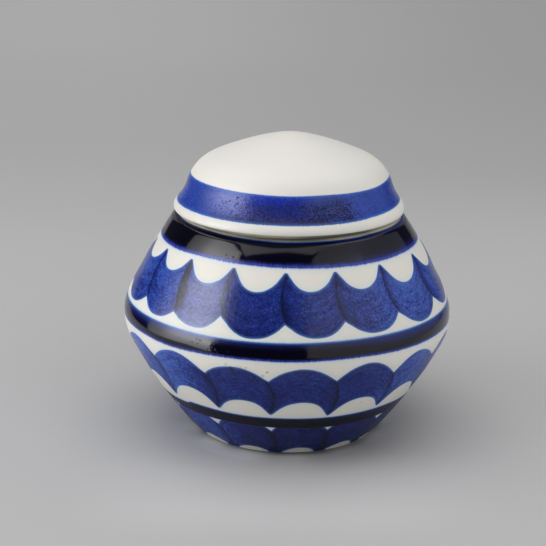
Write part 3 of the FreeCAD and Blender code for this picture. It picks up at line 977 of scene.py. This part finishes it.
def lid_glaze():
    g = Glaze("lid_glaze", LID_SHIFT)
    z, angle, run = g.z, g.angle, g.run
    # textures: scale, detail, roughness
    fine = g.centred(1900, 2, 0.6)
    mottle = g.centred(1000, 3, 0.70)
    grain = g.centred(800, 3, 0.6)
    cloud = g.centred(95, 3, 0.6)
    dots = g.noise(1500, 2, 0.65)
    dot_groups = g.centred(330, 3, 0.6)
    dot_drift = g.centred(90, 2, 0.5)

    top = angle.around(LID_BAND_TOP, 1.5, 1.65)
    low = angle.around(LID_BAND_LOW, 1.38, 1.5)
    outside = run.ramp(RIM_RUN - 0.5, RIM_RUN + 0.5)
    rag = g.brush(40, z * 8.0, 2.2, 3, 0.7)
    inside = (top - z + rag * 0.003).min(z - low + rag * 0.008) + fine * 0.0022 + grain * 0.0020
    is_blue = inside.ramp(-0.0022, 0.0022) * outside
    across = ((z - low) / (top - low)).clamp()
    streak = g.brush(2.2, across * 4.0, 3, 4, 0.7)

    # a second, speckled coat over part of the way round, ending on the right in a curved edge
    coat_end = 35.2 - 3.4 * ((across - 0.45) * 2.0) ** 2.0
    second = angle.ramp(coat_end + 0.6, coat_end - 0.4) * angle.ramp(-55, -22)
    weight = across.curve(SPECKLE_UP, UNIT, (0.0, 1.1))
    density = weight * angle.around(SPECKLE_ROUND, 0.0, 1.1)
    speckle = dots + dot_groups * 0.30 + dot_drift * 0.12 - 0.655 + density * 0.26
    speckle = speckle.ramp(0.0, 0.085)
    coat = second * (0.18 + 0.42 * weight)
    low_edge = ((across + dot_groups * 0.10).ramp(0.26, 0.06) * angle.ramp(-48, -28)
                * angle.ramp(34, 22))
    # thick over the front, with one dark patch at its right
    thick = angle.ramp(-30, -14) * angle.ramp(24, 12) * across.ramp(0.95, 0.5) * 0.45
    ragged = angle + mottle * 8.0
    patch = (ragged.ramp(33, 29) * ragged.ramp(16, 24) * across.ramp(0.92, 0.78)
             * across.ramp(0.20, 0.34))
    tint = 1.0 + streak * 0.35 + mottle * 1.1 + cloud * 0.45
    blue = blend((0.019, 0.053, 0.34), (0.009, 0.033, 0.41),
                 angle.ramp(-34, -14) * angle.ramp(16, 4))
    blue = scaled(blue, (tint * (1.0 - thick)).max(0.25))
    blue = blend(blue, (0.009, 0.012, 0.115), (coat * 0.52).clamp())
    blue = blend(blue, (0.0085, 0.008, 0.026), (speckle * 0.80).clamp())
    blue = blend(blue, (0.012, 0.01, 0.03), (patch * 0.40).clamp())
    blue = blend(blue, (0.05, 0.038, 0.05), (low_edge * dots.ramp(0.42, 0.58)).clamp() * 0.72)
    thin_edge = (inside + mottle * 0.006).ramp(0.016, 0.001)
    blue = blend(blue, (0.04, 0.15, 0.52), (thin_edge * 0.72).clamp())

    # the white is a little darker below the band, except on the right
    below = z.ramp(1.455, 1.435) * outside * (0.060 - angle.ramp(25, 70) * 0.075)
    white = white_glaze(g, light=(0.792, 0.776, 0.724), dark=(0.766, 0.746, 0.694),
                        shade=(1.0 + grain * 0.03) * (1.0 - below),
                        rarity=(0.958, 0.965), strength=0.40)
    bleed = inside.ramp(-0.0085, 0.0) * outside
    colour = blend(white, (0.45, 0.58, 0.80), bleed * 0.35)
    colour = blend(colour, blue, is_blue)

    # the seat is bare clay; under the rim, darker clay with painted shade that changes round the lid
    clay_noise = g.noise(420, 4, 0.6)
    bare = (run.ramp(SEAT_RUN - 2.6, SEAT_RUN - 1.8) * run.ramp(SEAT_RUN + 2.6, SEAT_RUN + 1.8))
    clay = blend((0.56, 0.51, 0.41), (0.68, 0.63, 0.53), clay_noise)
    colour = blend(colour, clay, bare * 0.9)
    # painted shade under the rim, deepest at the right front
    under = run.ramp(RIM_RUN - 0.6, RIM_RUN - 1.4) * run.ramp(SEAT_RUN + 1.0, SEAT_RUN + 1.8)
    clay = scaled(blend((0.37, 0.35, 0.27), (0.45, 0.43, 0.34), clay_noise),
                  angle.around(UNDER_RIM_SHADE, 0.0, 1.6))
    colour = blend(colour, clay, under * 0.85)

    # satin white, smoother blue, dry clay; the speckle dulls the blue and stands proud
    blue_rough = 0.255 + mottle * 0.20 + coat * 0.05 + speckle * 0.10
    rough = mix(0.42 + grain * 0.08 + cloud * 0.05, blue_rough, is_blue)
    rough = mix(rough, 0.65, bare)
    gloss = (0.5 - speckle * is_blue * 0.34 - is_blue * angle.ramp(-26, -14) * 0.07
             + mottle * is_blue * 0.5).max(0.1)
    height = (is_blue * (0.10 + speckle * 0.45 + mottle * 0.30) + mottle * 0.06
              + g.noise(140, 2, 0.5) * 0.12)
    return g.glazed(colour, rough, gloss, height, strength=0.5, distance=0.0002)


jar = revolve("jar_body", JAR, jar_wobble)
lid = revolve("dome_lid", LID, lid_wobble, LID_SHIFT)
jar.data.materials.append(jar_glaze())
lid.data.materials.append(lid_glaze())
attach(jar, "jar")
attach(lid, "lid")
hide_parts("jar")
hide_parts("lid")


# ---------------------------------------------------------------------------------------
# Backdrop: a sheet of pale grey paper that rises behind the pot (metres)
# ---------------------------------------------------------------------------------------
PAPER = (0.506, 0.505, 0.508)
# Painted light and shade on the far paper on the left and right: (slope of the sight line down to it,
# factor).
LEFT_PAPER_LIGHT = [
    (0.0, 1.26), (0.113, 1.26), (0.136, 1.25), (0.156, 1.195), (0.177, 1.085), (0.198, 1.0),
    (0.218, 0.965), (0.246, 0.965), (0.282, 1.0), (0.318, 1.0), (0.40, 1.0), (0.6, 1.0)]
RIGHT_PAPER_LIGHT = [
    (0.0, 1.045), (0.113, 1.045), (0.156, 1.03), (0.177, 0.97), (0.198, 0.925), (0.218, 0.905),
    (0.246, 0.95), (0.282, 1.0), (0.318, 1.01), (0.38, 0.985), (0.44, 0.975), (0.5, 1.0),
    (0.6, 1.0)]
# The contact shadow: (mm from the axis, strength) and (angle, strength).
CONTACT_OUT = [
    (41, 0.85), (42.4, 0.78), (43.6, 0.58), (44.8, 0.33), (46, 0.12), (47.4, 0.02), (49, 0)]
CONTACT_ROUND = [
    (-180, 0.75), (-70, 0.45), (-42, 0.38), (-26, 0.60), (-10, 0.85), (4, 1.0), (20, 0.92),
    (36, 0.72), (60, 0.68), (90, 0.72), (180, 0.75)]
# Light thrown back and soft shade beside the foot: (mm from the axis, strength).
GLOW_OUT = [(43, 0.0), (46, 0.9), (49, 1.0), (56, 0.40), (68, 0.0)]
SHADE_OUT = [(43, 0.0), (45.5, 1.0), (49, 0.8), (56, 0.35), (68, 0.0)]


# The paper's painted light and shade: drift of brightness, contact shadow, glow and shade round the
# foot.
def paper_painted_light(g, radius):
    x, y = g.x, g.y
    # the paper's slope below the camera, which is at about y = -0.664, z = 0.2693
    far = (y + 0.664).max(0.05)
    drop = (0.2693 - g.z) / far
    left, right = (drop.curve(tone, (0.0, 0.6), (0.8, 1.3)) for tone in (LEFT_PAPER_LIGHT, RIGHT_PAPER_LIGHT))
    tone = mix(left, right, (x / far).ramp(-0.17, 0.16))
    tone = mix(1.0, tone, y.ramp(-0.1, 0.15))
    # painted shade slightly darker in front, painted light close before the foot
    front = y.ramp(-0.29, -0.15) * y.ramp(-0.02, -0.06) * -0.015
    light_before_foot = (y.ramp(-0.03, -0.065) * y.ramp(-0.135, -0.10) * x.abs().ramp(0.10, 0.03)
                   * 0.12)
    tone = tone * (1.0 + front + light_before_foot)
    # round the foot: a thin contact shadow, a glow at the left front, shade at the right front
    angle = g.math("ARCTAN2", x, -y) * DEGREES
    reach = (radius * 1000.0).max(41.0).min(68.0)
    contact = reach.min(49.0).curve(CONTACT_OUT, (41.0, 49.0), UNIT).max(0.0)
    contact_round = angle.curve(CONTACT_ROUND, (-180.0, 180.0), UNIT)
    glow, shade = (reach.max(43.0).curve(points, (43.0, 68.0), UNIT).max(0.0)
                   for points in (GLOW_OUT, SHADE_OUT))
    glow = glow * angle.ramp(-4, -24) * angle.ramp(-85, -45) * 0.28
    shade = shade * angle.ramp(4, 18) * angle.ramp(80, 40) * 0.22
    return tone * (1.0 - contact * contact_round + glow - shade)


def paper_material():
    g = Graph("backdrop_paper")
    x, y = g.x, g.y
    radius = (x * x + y * y).sqrt()
    grain = g.centred(900, 2, 0.5)
    drift_tone = g.centred(1.1, 2, 0.5)
    shade = (1.0 + grain * 0.03 + drift_tone * 0.02) * paper_painted_light(g, radius)
    paper = g.node("ShaderNodeBsdfPrincipled", {
        "Base Color": scaled(PAPER, shade), "Roughness": 0.85, "Specular IOR Level": 0.15})
    # The glaze mirrors only the sheet close by, as if a small table stood in a dark room.
    widening = y.max(0.0) * mix(0.38, 0.45, x.ramp(-0.1, 0.1))
    sides = (x.abs() - 0.30 - widening).ramp(0.0, 0.08)
    open_sides = (x.abs() - y.max(0.0) * 0.42).ramp(0.20, 0.26)
    away = y.ramp(-0.15, -0.19).max(sides)
    away = away.max(radius.ramp(0.13, 0.085) * 0.55)
    path = g.node("ShaderNodeLightPath")
    camera_ray = Value(g, path.outputs["Is Camera Ray"])
    glossy_ray = Value(g, path.outputs["Is Glossy Ray"])
    clear = g.node("ShaderNodeBsdfTransparent")
    hidden = (away * glossy_ray).max(open_sides * (1.0 - camera_ray) * (1.0 - glossy_ray))
    near = g.node("ShaderNodeMixShader", {0: hidden, 1: paper.outputs[0], 2: clear.outputs[0]})
    # Far out the camera sees one even tone that fades into the room, without a horizon.
    behind = x.abs().ramp(0.98, 0.62) * y.ramp(0.0, 0.3)
    even = g.node("ShaderNodeEmission", {
        "Color": scaled((1.0, 1.0, 1.01), mix(0.44, 0.36, radius.ramp(0.9, 2.9)))})
    faded = radius.ramp(0.62, 1.00) * (1.0 - behind) * camera_ray
    seen = g.node("ShaderNodeMixShader", {0: faded, 1: near.outputs[0], 2: even.outputs[0]})
    return g.finish(seen.outputs[0])


def backdrop():
    xs = np.linspace(-4.0, 4.0, 9)
    bend = 1.1
    path = [(-3.0, 0.0), (-1.0, 0.0), (0.0, 0.0), (1.0, 0.0)]
    path += [(1.0 + bend * math.sin(a), bend - bend * math.cos(a))
             for a in np.linspace(0.10, math.pi / 2, 12)]
    path += [(1.0 + bend, 3.2)]
    verts = [(x, y, z) for y, z in path for x in xs]
    n = len(xs)
    faces = [(i * n + j, i * n + j + 1, (i + 1) * n + j + 1, (i + 1) * n + j)
             for i in range(len(path) - 1) for j in range(n - 1)]
    mesh = bpy.data.meshes.new("backdrop")
    mesh.from_pydata(verts, [], faces)
    sheet = link_mesh("backdrop", mesh)
    mesh.materials.append(paper_material())
    return sheet


backdrop()


# ---------------------------------------------------------------------------------------
# Lights: big soft panels (metres; azimuths in degrees, 0 on the camera's side, + to the right)
# ---------------------------------------------------------------------------------------
def shape_light(light, along, up, lean, cut):
    """Strength curves over the panel's u and v, and corners cut off along a slope."""
    light.use_nodes = True
    tree = light.node_tree
    tree.nodes.clear()
    geometry = tree.nodes.new("ShaderNodeNewGeometry")
    split = tree.nodes.new("ShaderNodeSeparateXYZ")
    tree.links.new(geometry.outputs["Parametric"], split.inputs[0])
    u, v = split.outputs[:2]

    def calculate(operation, *terms):
        node = tree.nodes.new("ShaderNodeMath")
        node.operation = operation
        for socket, term in zip(node.inputs, terms):
            if isinstance(term, bpy.types.NodeSocket):
                tree.links.new(term, socket)
            else:
                socket.default_value = term
        return node.outputs[0]

    def strength_curve(place, points):
        if points is None:
            return 1.0
        node = tree.nodes.new("ShaderNodeFloatCurve")
        set_curve(node, points)
        tree.links.new(place, node.inputs["Value"])
        return node.outputs[0]

    def cut_corner(strength, kept, other, start, slope):
        """Dark where kept < slope * (other - start)."""
        edge = calculate("MULTIPLY", calculate("SUBTRACT", other, start), slope)
        node = tree.nodes.new("ShaderNodeMapRange")
        node.interpolation_type = "SMOOTHSTEP"
        node.inputs["From Min"].default_value = -0.006
        node.inputs["From Max"].default_value = 0.006
        tree.links.new(calculate("SUBTRACT", kept, edge), node.inputs["Value"])
        return calculate("MULTIPLY", strength, node.outputs[0])

    strength = calculate("MULTIPLY", strength_curve(u, along), strength_curve(v, up))
    if lean is not None:
        strength = cut_corner(strength, u, v, *lean)
    if cut is not None:
        strength = cut_corner(strength, v, u, *cut)
    emission = tree.nodes.new("ShaderNodeEmission")
    tree.links.new(strength, emission.inputs["Strength"])
    output = tree.nodes.new("ShaderNodeOutputLight")
    tree.links.new(emission.outputs[0], output.inputs[0])


def area(name, position, facing, width, height, radiance, glossy=True, diffuse=True,
         along=None, up=None, lean=None, cut=None):
    """A rectangular light; lean and cut are (start, slope) of a cut-off corner."""
    light = bpy.data.lights.new(name, "AREA")
    light.shape = "RECTANGLE"
    light.size, light.size_y = width, height
    light.energy = radiance * width * height * 4.0
    if along is not None or up is not None:
        shape_light(light, along, up, lean, cut)
    panel = bpy.data.objects.new(name, light)
    panel.location = position
    if facing.z > -0.99:
        panel.rotation_euler = facing.to_track_quat("-Z", "Y").to_euler()
    panel.visible_camera = False
    panel.visible_glossy = glossy
    panel.visible_diffuse = diffuse
    bpy.context.scene.collection.objects.link(panel)


def upright(name, azimuth, distance, span, heights, radiance, **more):
    """An upright panel square to one azimuth, over a span of azimuths and of heights."""
    turn = math.radians(azimuth)
    out = Vector((math.sin(turn), -math.cos(turn), 0.0))
    side = Vector((math.cos(turn), math.sin(turn), 0.0))
    start, end = (distance * math.tan(math.radians(a - azimuth)) for a in span)
    low, high = heights
    middle = out * distance + side * (start + end) / 2 + Vector((0, 0, (low + high) / 2))
    area(name, middle, -out, abs(end - start), high - low, radiance, **more)


def overhead(name, xs, ys, z, radiance, **more):
    middle = Vector((sum(xs) / 2, sum(ys) / 2, z))
    area(name, middle, Vector((0, 0, -1)), xs[1] - xs[0], ys[1] - ys[0], radiance, **more)


# The left panel, and its image in the gloss.
upright("left_panel", -70, 1.0, (-106, -50), (-0.25, 1.09), 1.0,
        along=[(0.0, 0.55), (0.25, 1.05), (0.5, 1.45), (0.8, 1.5), (1.0, 1.6)],
        up=[(0.0, 1.15), (0.5, 1.05), (1.0, 0.82)])
upright("left_sheen", -70, 0.99, (-105, -50), (-0.25, 1.07), 1.0, diffuse=False,
        along=[(0.0, 0.0), (0.2, 0.08), (0.32, 0.28), (0.42, 0.80), (0.55, 1.30),
               (0.80, 1.60), (1.0, 1.65)],
        up=[(0.0, 0.15), (0.12, 0.38), (0.23, 0.90), (0.32, 1.60), (0.42, 2.25),
            (0.52, 2.3), (0.68, 1.85), (0.85, 0.95), (1.0, 0.50)])
# A long, weaker diffuser on the right.
upright("right_panel", 45, 1.1, (14, 76), (-0.3, 1.39), 1.0, lean=(0.794, 1.77),
        up=[(0.0, 0.40), (0.22, 0.42), (0.38, 0.45), (0.55, 0.60), (0.68, 0.62),
            (0.82, 0.46), (1.0, 0.40)])
upright("right_fill", 55, 1.15, (30, 100), (0.2, 1.2), 0.33, glossy=False)
upright("right_panel_back", 105, 1.1, (76, 128), (-0.3, 1.5), 1.0,
        along=[(0.0, 0.42), (0.5, 0.28), (1.0, 0.14)])
overhead("top_panel", (-1.10, 1.2), (-1.1, 1.5), 1.5, 1.0, cut=(0.72, 0.80),
         along=[(0.0, 1.32), (0.33, 0.98), (0.6, 0.92), (0.8, 0.78), (1.0, 0.38)],
         up=[(0.0, 0.72), (0.1, 0.78), (0.3, 1.20), (0.55, 1.2), (0.8, 0.85), (1.0, 0.6)])
# Fills that leave no image in the gloss.
upright("front_fill", -18, 1.4, (-50, 14), (0.2, 1.5), 0.26, glossy=False)
upright("front_low_fill", -12, 1.2, (-52, 28), (0.0, 0.45), 0.19, glossy=False)
overhead("front_top_fill", (-0.9, 0.9), (-1.9, -1.1), 1.5, 0.26, glossy=False)
upright("left_low_fill", -85, 1.0, (-118, -50), (-0.25, 0.03), 1.95, glossy=False)
upright("right_low_fill", 85, 1.0, (55, 118), (-0.25, 0.03), 0.80, glossy=False)


# ---------------------------------------------------------------------------------------
# World and camera
# ---------------------------------------------------------------------------------------
def build_world():
    """A dark room that the camera sees as pale grey."""
    world = bpy.data.worlds.new("studio")
    bpy.context.scene.world = world
    world.use_nodes = True
    tree = world.node_tree
    tree.nodes.clear()
    path = tree.nodes.new("ShaderNodeLightPath")
    room = tree.nodes.new("ShaderNodeBackground")
    room.name = "room"
    seen = tree.nodes.new("ShaderNodeBackground")
    for node, colour, strength in ((room, (1.0, 1.0, 1.0, 1.0), 0.03),
                                   (seen, (0.36, 0.36, 0.365, 1.0), 1.0)):
        node.inputs[0].default_value = colour
        node.inputs[1].default_value = strength
    either = tree.nodes.new("ShaderNodeMixShader")
    output = tree.nodes.new("ShaderNodeOutputWorld")
    tree.links.new(path.outputs["Is Camera Ray"], either.inputs[0])
    tree.links.new(room.outputs[0], either.inputs[1])
    tree.links.new(seen.outputs[0], either.inputs[2])
    tree.links.new(either.outputs[0], output.inputs[0])


CAMERA_PLACE = (0.9, -664.05, 269.325)      # mm
PITCH, YAW, ROLL = (math.radians(a) for a in (16.61, -0.65, 0.88))   # down, right, roll


def build_camera():
    forward = Vector((math.sin(YAW) * math.cos(PITCH), math.cos(YAW) * math.cos(PITCH),
                      -math.sin(PITCH)))
    level = forward.cross(Vector((0, 0, 1))).normalized()
    upward = level.cross(forward)
    right = math.cos(ROLL) * level + math.sin(ROLL) * upward
    top = -math.sin(ROLL) * level + math.cos(ROLL) * upward
    lens = bpy.data.cameras.new("camera")
    lens.sensor_width = 36.0
    lens.lens = 98.901099
    lens.shift_x, lens.shift_y = -0.00091575092, 0.00091575092
    lens.clip_start, lens.clip_end = 0.01, 50.0
    camera = bpy.data.objects.new("camera", lens)
    matrix = Matrix((right, top, -forward)).transposed().to_4x4()
    matrix.translation = Vector(CAMERA_PLACE) * MM
    camera.matrix_world = matrix
    bpy.context.scene.collection.objects.link(camera)
    bpy.context.scene.camera = camera


build_world()
build_camera()
bpy.context.scene.view_settings.view_transform = "Standard"
bpy.context.scene.view_settings.look = "None"

bpy.context.view_layer.update()
